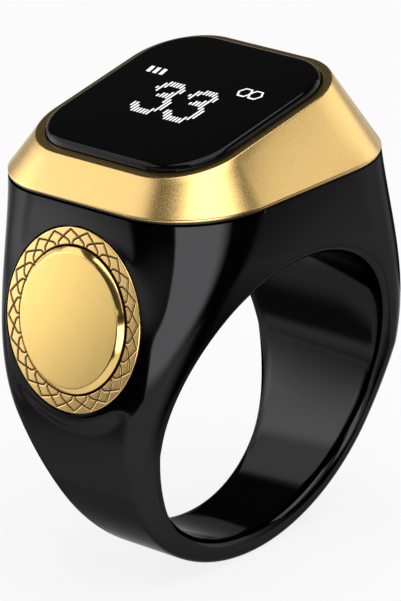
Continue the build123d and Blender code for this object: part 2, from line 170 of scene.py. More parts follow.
class ButtonSizes(bpy.types.PropertyGroup):
    """Sizes of the button, its ornament ring, its boss and the snap dome under it."""

    middle: position("Middle", "Middle of the ornament's face", -11.556, 0, 7.7)
    tilt: degrees("Tilt", "How far the button faces up", 13.1)
    boss: length("Boss", "Radius of the boss's flat at its sides", 6.0)
    boss_rim: length("Boss rim", "How much further the flat reaches at the bottom", 0.05)
    boss_drop: length("Boss drop", "How far the ornament stands above the boss at its sides", 0.06)
    boss_foot_drop: length("Boss foot drop", "How far it stands above the boss at the bottom", 0.05)
    boss_side: length("Boss side", "Width over which the boss runs out at its sides", 2.2)
    boss_foot: length("Boss foot", "Width over which the boss runs out at the bottom", 1.25)
    well: length("Well", "Radius of the ornament's seat", 5.97)
    well_depth: length("Well depth", "Depth of the ornament's seat", 0.7)
    pocket: length("Pocket", "Radius of the pocket for the button's flange", 5.3)
    pocket_depth: length("Pocket depth", "Depth of that pocket", 1.54)
    switch_room: length("Switch room", "Side of the pocket for the switch", 3.5)
    switch_depth: length("Switch depth", "Depth of the pocket for the switch", 2.44)
    ribbon_room: length("Ribbon room", "Width of the way for the switch's ribbon", 2.6)
    ribbon_depth: length("Ribbon depth", "Depth at which that way starts", 1.99)
    ribbon_reach: length("Ribbon reach", "How far up the flank that way runs", 7.1)
    ring: length("Ornament", "Outer radius of the ornament ring", 5.85)
    ring_inner: length("Ornament inside", "Inner radius of the ornament ring", 4.74)
    ring_edge: length("Ornament edge", "Small bevel at the ornament's edges", 0.05)
    arches: IntProperty(name="Arches", description="Number of arches round the ornament", default=24, min=6)
    arch_turn: degrees("Arch turn", "Where the first arch stands, from the top", 6.4)
    groove: length("Groove width", "Half the width of an engraved line", 0.058)
    groove_depth: length("Groove depth", "Depth of an engraved line", 0.07)
    cap: length("Cap", "Radius of the button", 4.62)
    cap_proud: length("Cap proud", "How far the button stands above the ornament", 0.378)
    cap_bevel: length("Cap bevel", "Width of the button's bevel", 0.35)
    cap_bevel_drop: length("Cap bevel height", "Height of the button's bevel", 0.28)
    cap_depth: length("Cap depth", "How far the button reaches in", 0.74)
    seal_low: length("Seal groove start", "Depth where the seal's groove starts", 0.21)
    seal_high: length("Seal groove end", "Depth where the seal's groove ends", 0.55)
    seal_root: length("Seal groove root", "Radius at the bottom of the seal's groove", 4.36)
    dome: length("Snap dome", "Radius of the switch's snap dome at its foot", 1.08)
    dome_skin: length("Snap dome skin", "Thickness of the snap dome", 0.05)
    dome_top: length("Snap dome top", "Depth of the snap dome's top", 1.8905)
    dome_foot: length("Snap dome foot", "Depth of the snap dome's foot", 2.1905)
    dome_keep: number("Snap dome pressed", "Share of its height that the pressed dome keeps", 0.2)


class Finishes(bpy.types.PropertyGroup):
    """Colours of the finishes."""

    black: colour("Black", "Gloss black of the body", 0.03, 0.03, 0.031)
    gold: colour("Gold", "Satin gold of the frame", 0.89, 0.61, 0.235)
    button_gold: colour("Button gold", "Satin gold of the button", 0.98, 0.69, 0.24)
    pale_gold: colour("Pale gold", "Gold of the ornament ring", 0.86, 0.58, 0.22)
    # This brown also paints shade: on the ornament's inner wall and on the button's side wall, in the gap
    # between them.
    engraved: colour("Engraving", "Brown in the engraved lines", 0.045, 0.022, 0.006)
    glass: colour("Glass", "Black behind the glass", 0.0014, 0.0014, 0.0016)
    lit: colour("Lit dots", "Colour of the lit dots", 1.0, 1.0, 1.0)
    floor: colour("Floor", "Pale floor", 0.95, 0.95, 0.95)


class Signal:
    """A shader socket that takes plain arithmetic."""

    def __init__(self, tree, socket=None):
        self.tree = tree
        self.socket = socket

    def make(self, kind, settings=None, sockets=None, out=0):
        """Adds a node with its settings and its sockets' values or links, and gives its output."""
        node = self.tree.nodes.new(kind)
        for key, value in (settings or {}).items():
            setattr(node, key, value)
        for key, value in (sockets or {}).items():
            if isinstance(value, Signal):
                self.tree.links.new(value.socket, node.inputs[key])
            else:
                node.inputs[key].default_value = value
        return Signal(self.tree, node.outputs[out] if node.outputs else None)

    def math(self, operation, first, second):
        """Works one value out of two."""
        return self.make("ShaderNodeMath", {"operation": operation}, {0: first, 1: second})

    def __add__(self, other):
        return self.math("ADD", self, other)

    def __radd__(self, other):
        return self.math("ADD", other, self)

    def __sub__(self, other):
        return self.math("SUBTRACT", self, other)

    def __rsub__(self, other):
        return self.math("SUBTRACT", other, self)

    def __mul__(self, other):
        return self.math("MULTIPLY", self, other)

    def __rmul__(self, other):
        return self.math("MULTIPLY", other, self)

    def peak(self, other):
        """The larger of two values."""
        return self.math("MAXIMUM", self, other)

    def blend(self, first, second):
        """A colour that runs from first to second as this value goes from 0 to 1."""
        return self.make("ShaderNodeMix", {"data_type": "RGBA"}, {0: self, 6: first, 7: second}, out=2)


def rgba(tint, shares=(1, 1, 1)):
    """A colour with full alpha, each of its parts times a share."""
    return (*(part * share for part, share in zip(tint, shares)), 1.0)


def start_material(name):
    """A material without nodes, and a signal that adds nodes to it."""
    material = bpy.data.materials.get(name) or bpy.data.materials.new(name)
    material.use_nodes = True
    material.node_tree.nodes.clear()
    return material, Signal(material.node_tree)


def show(nodes, shader):
    """Links a shader to the material's output."""
    nodes.make("ShaderNodeOutputMaterial", sockets={0: shader})


def surface(nodes, sockets):
    """Gives the material a surface with these values and links."""
    show(nodes, nodes.make("ShaderNodeBsdfPrincipled", sockets=sockets))


def grain(nodes, scale, detail=2.0, roughness=0.55):
    """Noise on the piece's own coordinates, its scale in grains per metre."""
    place = nodes.make("ShaderNodeTexCoord", out=3)
    sockets = {"Vector": place, "Scale": scale, "Detail": detail, "Roughness": roughness}
    return nodes.make("ShaderNodeTexNoise", sockets=sockets)


def grit(nodes):
    """The fine grain of blasted gold."""
    return grain(nodes, 14000.0, 2.0, 0.6)


def bump(nodes, height, strength, millimetres):
    """A normal from a height, with the height that a value of 1 stands for."""
    sockets = {"Height": height, "Strength": strength, "Distance": millimetres * MM}
    return nodes.make("ShaderNodeBump", sockets=sockets)


def marked(nodes, name):
    """A value that the mesh holds at its vertices."""
    return nodes.make("ShaderNodeAttribute", {"attribute_name": name}, out=2)


def black_finish(tints):
    """Black coating with a hard polish, a trace of unevenness in it and little shine at its edges."""
    material, nodes = start_material("black_gloss")
    haze = grain(nodes, 260.0, 3.0)
    peel = grain(nodes, 900.0, 1.0)
    surface(
        nodes,
        {
            "Base Color": haze.blend(rgba(tints.black, (0.9, 0.9, 0.9)), rgba(tints.black)),
            "Metallic": 1.0,
            "Roughness": 0.07 + haze * 0.05,
            "Specular Tint": (0.5, 0.5, 0.5, 1.0),
            "Normal": bump(nodes, peel, 0.015, 0.02),
        },
    )
    return material


def gold_finish(tints):
    """Blasted gold: metal with fine grain in its colour, gloss and surface."""
    material, nodes = start_material("gold_satin")
    fine = grit(nodes)
    broad = grain(nodes, 900.0, 3.0)
    mottle = 0.55 * fine + 0.45 * broad
    surface(
        nodes,
        {
            "Base Color": mottle.blend(rgba(tints.gold, (0.84, 0.82, 0.77)), rgba(tints.gold)),
            "Metallic": 1.0,
            "Roughness": 0.27 + (fine - 0.5) * 0.16 + (broad - 0.5) * 0.06,
            "Normal": bump(nodes, fine, 0.22, 0.01),
        },
    )
    return material


def button_finish(tints):
    """Satin gold face with a polished bevel and painted brown shade on the side wall below it, which the mesh
    marks.
    """
    material, nodes = start_material("gold_button")
    fine = grit(nodes)
    broad = grain(nodes, 700.0, 3.0)
    polish = marked(nodes, "polish")
    painted_recess_shade = marked(nodes, "painted_recess_shade")
    mottle = 0.5 * fine + 0.5 * broad
    gold = mottle.blend(rgba(tints.button_gold, (0.86, 0.83, 0.78)), rgba(tints.button_gold))
    satin = 0.3 + (fine - 0.5) * 0.1 + (broad - 0.5) * 0.05
    surface(
        nodes,
        {
            # The marked side wall below the bevel is brown: painted shade of the gap round the button.
            "Base Color": painted_recess_shade.blend(gold, rgba(tints.engraved)),
            "Metallic": 1.0 - 0.6 * painted_recess_shade,
            "Roughness": satin * (1 - polish) + 0.12 * polish,
            "Normal": bump(nodes, fine * (1 - polish), 0.2, 0.01),
        },
    )
    return material


def ornament_finish(tints):
    """Pale gold with brown in the engraved lines, and brown on the ring's inner wall in the gap round the
    button as painted shade, both of which the mesh marks.
    """
    material, nodes = start_material("gold_engraved")
    fine = grit(nodes)
    line = marked(nodes, "line")
    gold = fine.blend(rgba(tints.pale_gold, (0.9, 0.88, 0.84)), rgba(tints.pale_gold))
    surface(
        nodes,
        {
            # Brown where the mesh marks it: the engraved lines, and painted shade on the ring's inner wall.
            "Base Color": line.blend(gold, rgba(tints.engraved)),
            "Metallic": 1.0 - 0.6 * line,
            "Roughness": 0.24 + (fine - 0.5) * 0.1 + 0.3 * line,
            "Normal": bump(nodes, fine, 0.1, 0.01),
        },
    )
    return material


def glass_finish(tints):
    """Black-backed glass."""
    material, nodes = start_material("lens_black")
    haze = grain(nodes, 400.0, 2.0)
    surface(
        nodes,
        {
            "Base Color": haze.blend(rgba(tints.glass), rgba(tints.glass, (1.3, 1.3, 1.3))),
            "Roughness": 0.03 + haze * 0.02,
            "Specular IOR Level": 0.2,
        },
    )
    return material


def lit_finish(tints):
    """Lit dots of the display, a little uneven from dot to dot."""
    material, nodes = start_material("lit_dots")
    uneven = grain(nodes, 3000.0, 1.0)
    surface(
        nodes,
        {
            "Base Color": (0.02, 0.02, 0.02, 1.0),
            "Roughness": 0.2,
            "Emission Color": uneven.blend(rgba(tints.lit, (0.85, 0.85, 0.85)), rgba(tints.lit)),
            "Emission Strength": 1.3,
        },
    )
    return material


def plain_finish(name, tint, metal, rough, scale, unevenness):
    """A finish for a piece inside: its colour, with grain in colour and gloss."""
    material, nodes = start_material(name)
    fine = grain(nodes, scale, 3.0)
    surface(
        nodes,
        {
            "Base Color": fine.blend(rgba(tint, 3 * (1 - unevenness,)), rgba(tint)),
            "Metallic": metal,
            "Roughness": rough + (fine - 0.5) * 0.2,
            "Normal": bump(nodes, fine, 0.08, 0.02),
        },
    )
    return material


def ease(start, end, start_slope, end_slope, span, along):
    """A value that runs smoothly from start to end over a span, with a slope given at each end."""
    share = along / span
    rise = 3 * share**2 - 2 * share**3
    lead = share - 2 * share**2 + share**3
    trail = share**3 - share**2
    return start + (end - start) * rise + span * (start_slope * lead + end_slope * trail)


def smooth(low, high, value):
    """0 below low, 1 above high and a soft rise between them."""
    share = min(1.0, max(0.0, (value - low) / (high - low)))
    return share * share * (3 - 2 * share)


def spread(start, end, count):
    """Evenly spaced values, both ends among them."""
    return [start + (end - start) * i / (count - 1) for i in range(count)]


def bend(first, middle, last, share):
    """A point on a curve from first to last that bends towards the middle point."""
    return (1 - share) ** 2 * first + 2 * share * (1 - share) * middle + share**2 * last


def mirrored(points):
    """Points on the other side of the ring's middle, in reverse order."""
    return [Vector((p.x, -p.y, p.z)) for p in reversed(points)]


def sheet(across, along, place):
    """A grid of cells whose corners move to their places, with meeting edges welded."""
    mesh = bmesh.new()
    bmesh.ops.create_grid(mesh, x_segments=across, y_segments=along, size=1.0)
    for vert in mesh.verts:
        column = round((vert.co.x + 1) / 2 * across)
        row = round((vert.co.y + 1) / 2 * along)
        vert.co = place(column, row)
    bmesh.ops.remove_doubles(mesh, verts=mesh.verts, dist=WELD)
    return mesh


def closed_sheet(loops):
    """A skin through closed loops that follow each other round."""
    return open_sheet([*loops, loops[0]])


def open_sheet(loops):
    """A skin through closed loops, left open at the first and the last."""
    return sheet(len(loops[0]), len(loops) - 1, lambda c, r: loops[r][c % len(loops[0])])


def turned(profile, steps):
    """A profile of radii and heights turned about the third axis."""
    mesh = bmesh.new()
    verts = [mesh.verts.new((radius, 0, height)) for radius, height in profile]
    edges = [mesh.edges.new(pair) for pair in zip(verts, verts[1:])]
    bmesh.ops.spin(
        mesh,
        geom=verts + edges,
        cent=(0, 0, 0),
        axis=(0, 0, 1),
        angle=2 * math.pi,
        steps=steps,
        use_merge=True,
    )
    bmesh.ops.remove_doubles(mesh, verts=mesh.verts, dist=WELD)
    return mesh


def add_piece(name, mesh, material, body, sharp=SHARP):
    """Makes an object of a mesh, smooth but for its sharp edges, and lets it ride on a body."""
    bmesh.ops.recalc_face_normals(mesh, faces=mesh.faces)
    if all(edge.is_manifold for edge in mesh.edges) and mesh.calc_volume(signed=True) < 0:
        bmesh.ops.reverse_faces(mesh, faces=mesh.faces)
    data = bpy.data.meshes.new(name)
    mesh.to_mesh(data)
    mesh.free()
    data.materials.append(material)
    piece = bpy.data.objects.new(name, data)
    bpy.context.scene.collection.objects.link(piece)
    shade(piece, sharp)
    if body:
        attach(piece, body)
    return piece


def shade(piece, sharp):
    """Smooth shading with sharp edges where faces turn by more than an angle."""
    data = piece.data
    data.polygons.foreach_set("use_smooth", [True] * len(data.polygons))
    data.set_sharp_from_angle(angle=math.radians(sharp))


def carve(piece, cutters):
    """Cuts shapes out of a piece and leaves its mesh finished."""
    for cutter in cutters:
        cut = piece.modifiers.new("cut", "BOOLEAN")
        cut.operation = "DIFFERENCE"
        cut.solver = "EXACT"
        cut.object = cutter
    depsgraph = bpy.context.evaluated_depsgraph_get()
    carved = bpy.data.meshes.new_from_object(piece.evaluated_get(depsgraph))
    rough = piece.data
    piece.modifiers.clear()
    piece.data = carved
    carved.name = piece.name
    bpy.data.meshes.remove(rough)
    for cutter in cutters:
        data = cutter.data
        bpy.data.objects.remove(cutter)
        bpy.data.meshes.remove(data)
    shade(piece, SHARP)


# Steps round a cutter, and over each of its rounded edges.
CUTTER_STEPS = 160
CUTTER_EDGE_STEPS = 16


def round_cutter(place, radius, start, end):
    """A round to cut with, along the third axis of a place."""
    mesh = bmesh.new()
    middle = place @ Matrix.Translation((0, 0, (start + end) / 2))
    bmesh.ops.create_cone(
        mesh,
        cap_ends=True,
        segments=CUTTER_STEPS,
        radius1=radius,
        radius2=radius,
        depth=end - start,
        matrix=middle,
    )
    return add_piece("cutter", mesh, None, None)


def slab_cutter(place, half_x, half_y, corner, start, end):
    """A plate to cut with, its upright edges rounded."""
    mesh = bmesh.new()
    middle = Matrix.Translation((0, 0, (start + end) / 2))
    size = Matrix.Diagonal((2 * half_x, 2 * half_y, end - start, 1))
    bmesh.ops.create_cube(mesh, size=1.0, matrix=middle @ size)
    upright = [e for e in mesh.edges if abs(e.verts[0].co.z - e.verts[1].co.z) > WELD]
    if corner:
        bmesh.ops.bevel(
            mesh,
            geom=upright,
            offset=corner,
            affect="EDGES",
            segments=CUTTER_EDGE_STEPS,
            profile=0.5,
            material=-1,
        )
    mesh.transform(place)
    return add_piece("cutter", mesh, None, None)


def button_place(sizes):
    """The button's place: first axis up the flank, third axis inwards."""
    tilt = sizes.tilt
    up = Vector((math.sin(tilt), 0, math.cos(tilt)))
    inward = Vector((math.cos(tilt), 0, -math.sin(tilt)))
    side = inward.cross(up)
    place = Matrix((up, side, inward)).transposed().to_4x4()
    return Matrix.Translation(sizes.middle) @ place


def display_place(sizes):
    """The display's place: first axis up the reading, third axis out of the glass."""
    lean = sizes.lean
    up = Vector((math.cos(lean), 0, math.sin(lean)))
    out = Vector((-math.sin(lean), 0, math.cos(lean)))
    side = out.cross(up)
    place = Matrix((up, side, out)).transposed().to_4x4()
    return Matrix.Translation(sizes.middle) @ place


class RingBody:
    """Loops round the ring's section, from the finger hole's wall over the faces to the flank."""

    # Cells along each stretch of a loop.
    face_steps = 15
    corner_steps = 40
    flank_steps = 64
    edge_steps = 4
    wall_steps = 14
    # Loops on the plain flank, over the rim, on the button's flank, just below it and on the rest.
    plain_loops = 45
    rim_loops = 33
    button_loops = 118
    under_loops = 22
    rest_loops = 74
    # Angle to which the close loops below the button reach.
    under = math.radians(14)
    # How softly the flank turns into the boss, and the boss into its run-out at the sides.
    soft = 0.1 * MM
    side_power = 6
    # Share of the way down from the button's middle over which the boss's foot begins.
    foot_start, foot_end = 0.5, 0.95
    # How far the polished edge of the hole bulges from a straight bevel.
    bulge = 0.45
    # The search for the start of a corner: halvings, how far out it goes and how far out a rim may be, both in
    # heights of the rim, and the least rise of a loop.
    halvings = 60
    corner_reach = 3
    rim_reach = 10
    least_rise = 1e-9

    def __init__(self, body, button):
        place = button_place(button)
        self.body = body
        self.button = button
        self.into = place.inverted()
        self.out = place.to_3x3() @ Vector((0, 0, -1))
        self.hip = body.shank + body.shoulder
        self.hip_slope = 2 * body.shoulder / (body.shoulder_spread * self.hip)

    def half_x(self, height):
        body = self.body
        return ease(self.hip, body.head_half, self.hip_slope, 0, body.top, height)

    def half_y(self, height):
        body = self.body
        return ease(body.shank_half, body.head_half, body.flare, body.head_flare, body.top, height)

    def corner(self, height, side):
        """Corner radius: grows evenly on the plain flank, and later on the button's."""
        body = self.body
        even = (body.head_corner - body.shank_corner) / body.top
        slopes = (even, even) if side > 0 else (0, body.corner_flare)
        return ease(body.shank_corner, body.head_corner, *slopes, body.top, height)

    def on_boss(self, point):
        """Lifts a point of the outer skin onto the button's boss, and ever less outside the boss's flat."""
        sizes = self.button
        local = self.into @ point
        away = math.hypot(local.x, local.y)
        if point.x > 0 or away > sizes.boss + sizes.boss_side:
            return point
        low = smooth(self.foot_start, self.foot_end, -local.x / away)
        stand = local.z - sizes.boss_drop - low * (sizes.boss_foot_drop - sizes.boss_drop)
        lift = max(stand, 0)
        if abs(stand) <= self.soft:
            lift = (stand + self.soft) ** 2 / (4 * self.soft)
        over = away - sizes.boss
        at_side = min(1, 1 - over / sizes.boss_side) ** self.side_power
        at_foot = 1 - smooth(0, sizes.boss_foot, over - sizes.boss_rim)
        return point + self.out * lift * (at_side + low * (at_foot - at_side))

    def loop(self, angle):
        """Points round the section at an angle about the hole's axis, from +X upwards."""
        side = 1 if math.cos(angle) >= 0 else -1
        run = abs(math.cos(angle))
        rise = math.sin(angle)
        if rise >= 0:
            return self.upper_loop(side, run, rise)
        return self.lower_loop(side, run, rise)

    def upper_loop(self, side, run, rise):
        """A loop above the hole's axis, which ends under the head's rim or at the flank's corner."""
        body = self.body
        longest = body.top / max(rise, self.least_rise)

        def short_of_corner(reach):
            height = reach * rise
            return reach * run < self.half_x(height) - self.corner(height, side)

        under_rim = longest < self.rim_reach * body.top and short_of_corner(longest)
        if under_rim:
            reach = longest
        else:
            reach, far = body.bore, min(longest, self.corner_reach * body.top)
            for _ in range(self.halvings):
                middle = (reach + far) / 2
                reach, far = (middle, far) if short_of_corner(middle) else (reach, middle)
        height = min(reach * rise, body.top)
        half_y = self.half_y(height)

        def on_face(far):
            return Vector((side * far * run, -self.half_y(min(far * rise, body.top)), far * rise))

        front = [on_face(far) for far in spread(body.bore + body.bore_edge, reach, self.face_steps)]
        if under_rim:
            count = 2 * self.corner_steps + self.flank_steps + 1
            skin = [Vector((side * reach * run, y, height)) for y in spread(-half_y, half_y, count)]
        else:
            radius = self.corner(height, side)
            x = self.half_x(height) - radius
            y = half_y - radius
            skin = []
            for turn in spread(0, math.pi / 2, self.corner_steps + 1):
                out, back = radius * math.sin(turn), radius * math.cos(turn)
                skin.append(Vector((side * (x + out), -y - back, height)))
            for step in spread(-y, y, self.flank_steps + 1)[1:-1]:
                skin.append(Vector((side * (x + radius), step, height)))
            skin += mirrored(skin[: self.corner_steps + 1])
            skin = [self.on_boss(p) for p in skin]
        return self.close(front, skin, on_face(body.bore))

    def lower_loop(self, side, run, rise):
        """A loop below the hole's axis, round the shank."""
        body = self.body
        swing = math.asin(min(1.0, -rise))
        near = max(0.0, 1 - swing / body.shoulder_spread)
        outer = body.shank + body.shoulder * near**2
        above = body.shank * (1 + rise)
        half = ease(body.foot_half, body.shank_half, body.foot_flare, body.flare, body.shank, above)
        corner = body.shank_corner + (body.foot_corner - body.shank_corner) * -rise
        start = outer - corner

        def at(reach, y):
            return Vector((side * reach * run, y, reach * rise))

        front = [at(far, -half) for far in spread(body.bore + body.bore_edge, start, self.face_steps)]
        skin = []
        for turn in spread(0, math.pi / 2, self.corner_steps + 1):
            skin.append(at(start + corner * math.sin(turn), corner - half - corner * math.cos(turn)))
        for y in spread(corner - half, half - corner, self.flank_steps + 1)[1:-1]:
            skin.append(at(outer, y))
        skin += mirrored(skin[: self.corner_steps + 1])
        skin = [self.on_boss(p) for p in skin]
        return self.close(front, skin, at(body.bore, -half))

    def close(self, front, skin, mouth):
        """Joins a face, the outer skin, the other face, both polished edges and the hole's wall."""
        wall = Vector((mouth.x, mouth.y + self.body.bore_edge, mouth.z))
        edge = []
        for share in spread(0, 1, self.edge_steps + 1)[1:-1]:
            straight = wall.lerp(front[0], share)
            edge.append(straight.lerp(bend(wall, mouth, front[0], share), self.bulge))
        near = [wall] + edge + front
        across = spread(-wall.y, wall.y, self.wall_steps + 1)[1:-1]
        hole = [Vector((wall.x, y, wall.z)) for y in across]
        return near + skin[1:-1] + mirrored(near) + hole

    def angles(self):
        """Angles of the loops: close together on the button's flank, wider elsewhere."""
        body = self.body

        def at_height(height, side):
            return math.atan2(height, self.half_x(height) - self.corner(height, side))

        reach = body.top / math.tan(at_height(body.top, 1))
        plain = [at_height(h, 1) for h in spread(0, body.top, self.plain_loops)]
        rim = [math.atan2(body.top, x) for x in spread(reach, -reach, self.rim_loops)]
        button = [math.pi - at_height(h, -1) for h in spread(body.top, 0, self.button_loops)]
        under = [math.pi + turn for turn in spread(0, self.under, self.under_loops)]
        rest = [math.pi + turn for turn in spread(self.under, math.pi, self.rest_loops)]
        return plain + rim[1:-1] + button + under[1:] + rest[1:-1]


class RC_OT_body(bpy.types.Operator):
    """Builds the black ring body with its boss and hollows"""

    bl_idname = "ring_counter.body"
    bl_label = "Ring body"

    def execute(self, context):
        body = context.scene.rc_body
        button = context.scene.rc_button
        ring = RingBody(body, button)
        mesh = closed_sheet([ring.loop(angle) for angle in ring.angles()])
        piece = add_piece("ring_body", mesh, black_finish(context.scene.rc_finishes), "ring")
        level = Matrix.Identity(4)
        flank = button_place(button)
        half_ribbon = button.ribbon_reach / 2
        ribbon = flank @ Matrix.Translation((half_ribbon, 0, 0))
        half_switch = button.switch_room / 2
        past = 1 * MM
        above = body.top + past
        inside = body.bore - 2 * past
        screw_low = body.tray_floor - body.screw_bite
        cutters = [
            slab_cutter(level, body.tray_half, body.tray_half, body.tray_corner, body.tray_floor, above),
            slab_cutter(level, body.well_half, body.well_half, body.well_corner, body.well_floor, above),
            round_cutter(flank, button.well, -2 * past, button.well_depth),
            round_cutter(flank, button.pocket, -past, button.pocket_depth),
            slab_cutter(flank, half_switch, half_switch, 0, 0, button.switch_depth),
            slab_cutter(
                ribbon, half_ribbon, button.ribbon_room / 2, 0, button.ribbon_depth, button.switch_depth
            ),
        ]
        for way in (-1, 1):
            spot = Matrix.Translation((0, way * body.contact_offset, 0))
            cutters.append(round_cutter(spot, body.contact_hole, inside, body.contact_depth))
            cutters.append(round_cutter(spot, body.stem_hole, inside, body.well_floor + past))
            for side in (-1, 1):
                spot = Matrix.Translation((side * body.screw_offset, way * body.screw_offset, 0))
                cutters.append(round_cutter(spot, body.screw_hole, screw_low, above))
        carve(piece, cutters)
        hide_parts("band_body")
        return {"FINISHED"}


# Steps over a corner and along a side of a rounded square.
OUTLINE_CORNER_STEPS = 24
OUTLINE_SIDE_STEPS = 6
# Width of the small bevel at the edges of the frame and the glass.
EDGE = 0.05 * MM


def outline(half, corner):
    """Points round a square with rounded corners, in its own plane."""
    points = []
    middle = half - corner
    for quarter in range(4):
        turn = Matrix.Rotation(quarter * math.pi / 2, 3, "Z")
        for step in spread(0, math.pi / 2, OUTLINE_CORNER_STEPS + 1):
            spot = Vector((middle + corner * math.cos(step), middle + corner * math.sin(step), 0))
            points.append(turn @ spot)
        for step in spread(middle, -middle, OUTLINE_SIDE_STEPS + 1)[1:-1]:
            points.append(turn @ Vector((step, half, 0)))
    return points


def ring_at(place, half, corner, height):
    """A rounded square as a loop at a height over a place."""
    return [place @ (p + Vector((0, 0, height))) for p in outline(half, corner)]


def between(first, second, share):
    """A loop part of the way from one loop to another."""
    return [a.lerp(b, share) for a, b in zip(first, second)]


class RC_OT_frame(bpy.types.Operator):
    """Builds the gold frame round the display"""

    bl_idname = "ring_counter.frame"
    bl_label = "Gold frame"

    # Where loops lie: shares of the lip, of the sloping side with its two folds, and of the rim's rounding.
    lip_share = 0.7
    slope_shares = (0.004, *spread(0.02, 0.98, 7))
    rim_shares = (0.25, 0.5, 0.75)

    def execute(self, context):
        head = context.scene.rc_head
        body = context.scene.rc_body
        level = Matrix.Identity(4)
        tilted = display_place(head)
        half, corner = body.head_half, body.head_corner
        seat, seat_corner = head.lens_half + head.lens_play, head.lens_corner + head.lens_play
        round_off = head.rim_round
        foot = ring_at(level, half, corner, head.base + head.lip)
        rim = ring_at(tilted, head.rim_half, head.rim_corner, 0)
        land = ring_at(tilted, head.rim_half - round_off, head.rim_corner - round_off, 0)
        loops = [ring_at(level, head.mouth_half, head.mouth_corner, head.base)]
        for inset, rise in ((EDGE, 0), (0.3 * EDGE, 0.3 * EDGE), (0, EDGE)):
            loops.append(ring_at(level, half - inset, corner - inset, head.base + rise))
        loops.append(between(loops[-1], foot, self.lip_share))
        loops += [between(foot, rim, share) for share in self.slope_shares]
        turn = loops[-1]
        for share in self.rim_shares:
            loops.append([bend(*points, share) for points in zip(turn, rim, land)])
        loops.append(land)
        for grow, drop in ((EDGE, 0), (0.5 * EDGE, 0.3 * EDGE), (0, 0.9 * EDGE), (0, head.shelf_top)):
            loops.append(ring_at(tilted, seat + grow, seat_corner + grow, -drop))
        loops += [
            ring_at(tilted, head.window_half, head.window_corner, -head.shelf_top),
            ring_at(tilted, head.window_half, head.window_corner, -head.shelf_base),
            ring_at(tilted, head.roof_half, head.roof_corner, -head.shelf_base),
        ]
        material = gold_finish(context.scene.rc_finishes)
        piece = add_piece("gold_frame", closed_sheet(loops), material, "ring", 40.0)
        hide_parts("bezel")
        return {"FINISHED"}


class RC_OT_glass(bpy.types.Operator):
    """Builds the dark glass with its rounded edge"""

    bl_idname = "ring_counter.glass"
    bl_label = "Glass"

    round_loops = 9

    def execute(self, context):
        head = context.scene.rc_head
        tilted = display_place(head)
        half, corner = head.lens_half, head.lens_corner
        loops = [
            ring_at(tilted, half - EDGE, corner - EDGE, -head.lens_depth),
            ring_at(tilted, half, corner, EDGE - head.lens_depth),
        ]
        for turn in spread(0, math.pi / 2, self.round_loops):
            inset = head.lens_round * (1 - math.cos(turn))
            height = head.lens_proud - head.lens_round * (1 - math.sin(turn))
            loops.append(ring_at(tilted, half - inset, corner - inset, height))
        mesh = open_sheet(loops)
        bmesh.ops.holes_fill(mesh, edges=mesh.edges, sides=0)
        piece = add_piece("display_glass", mesh, glass_finish(context.scene.rc_finishes), "ring")
        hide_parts("display_lens")
        return {"FINISHED"}


# Lines of the lit signs along the reading and up it, half their widths, the cells that light the small ones as
# shares of the dots' pitch, and their places from the middle of the display, all but the shares in millimetres.
DIGIT_THREE = (
    ((0.22, 2.95), (0.5, 3.45), (0.85, 3.7), (1.55, 3.74), (1.92, 3.38), (1.92, 2.9), (1.65, 2.45)),
    (
        (0.92, 2.25),
        (1.7, 2.28),
        (2.16, 1.75),
        (2.2, 0.9),
        (1.68, 0.27),
        (0.8, 0.25),
        (0.25, 0.7),
        (0.25, 0.88),
    ),
)
DIGIT_HALF = 0.25
DIGITS_AT = (-2.735, -2.477)
SIXTHS = [math.radians(turn) for turn in range(0, 361, 60)]
LOOP_RADIUS = 0.5
HEXAGON = tuple((LOOP_RADIUS * math.cos(turn), LOOP_RADIUS * math.sin(turn)) for turn in SIXTHS)
LOOP_SHIFT = 0.46
LOOP_HALF = 0.06
LOOP_CELL = 0.12
LOOPS_AT = (3.91, 2.21)
BAR_STEP, BAR_LEAN, BAR_HEIGHT = 0.56, 0.05, 0.69
BARS = tuple(
    ((BAR_STEP * i + BAR_LEAN, 0.0), (BAR_STEP * i - BAR_LEAN, BAR_HEIGHT)) for i in range(3)
)
BAR_HALF = 0.15
BAR_CELL = 0.1
BARS_AT = (-4.88, 1.85)
# Thickness of the lit layer, the width under which a cell is none, and a distance past all others.
LIT_SKIN = 0.012
NO_WIDTH = 1e-6
FAR_OFF = 1e9


def shifted(lines, step):
    """Lines moved along the reading."""
    return tuple(tuple((x + step, y) for x, y in line) for line in lines)


def off_line(spot, lines):
    """Distance of a spot from the nearest of some broken lines."""
    best = FAR_OFF
    for line in lines:
        for start, end in zip(line, line[1:]):
            a, b = Vector(start), Vector(end)
            run = b - a
            share = min(1.0, max(0.0, (spot - a).dot(run) / run.length_squared))
            best = min(best, (a + share * run - spot).length)
    return best


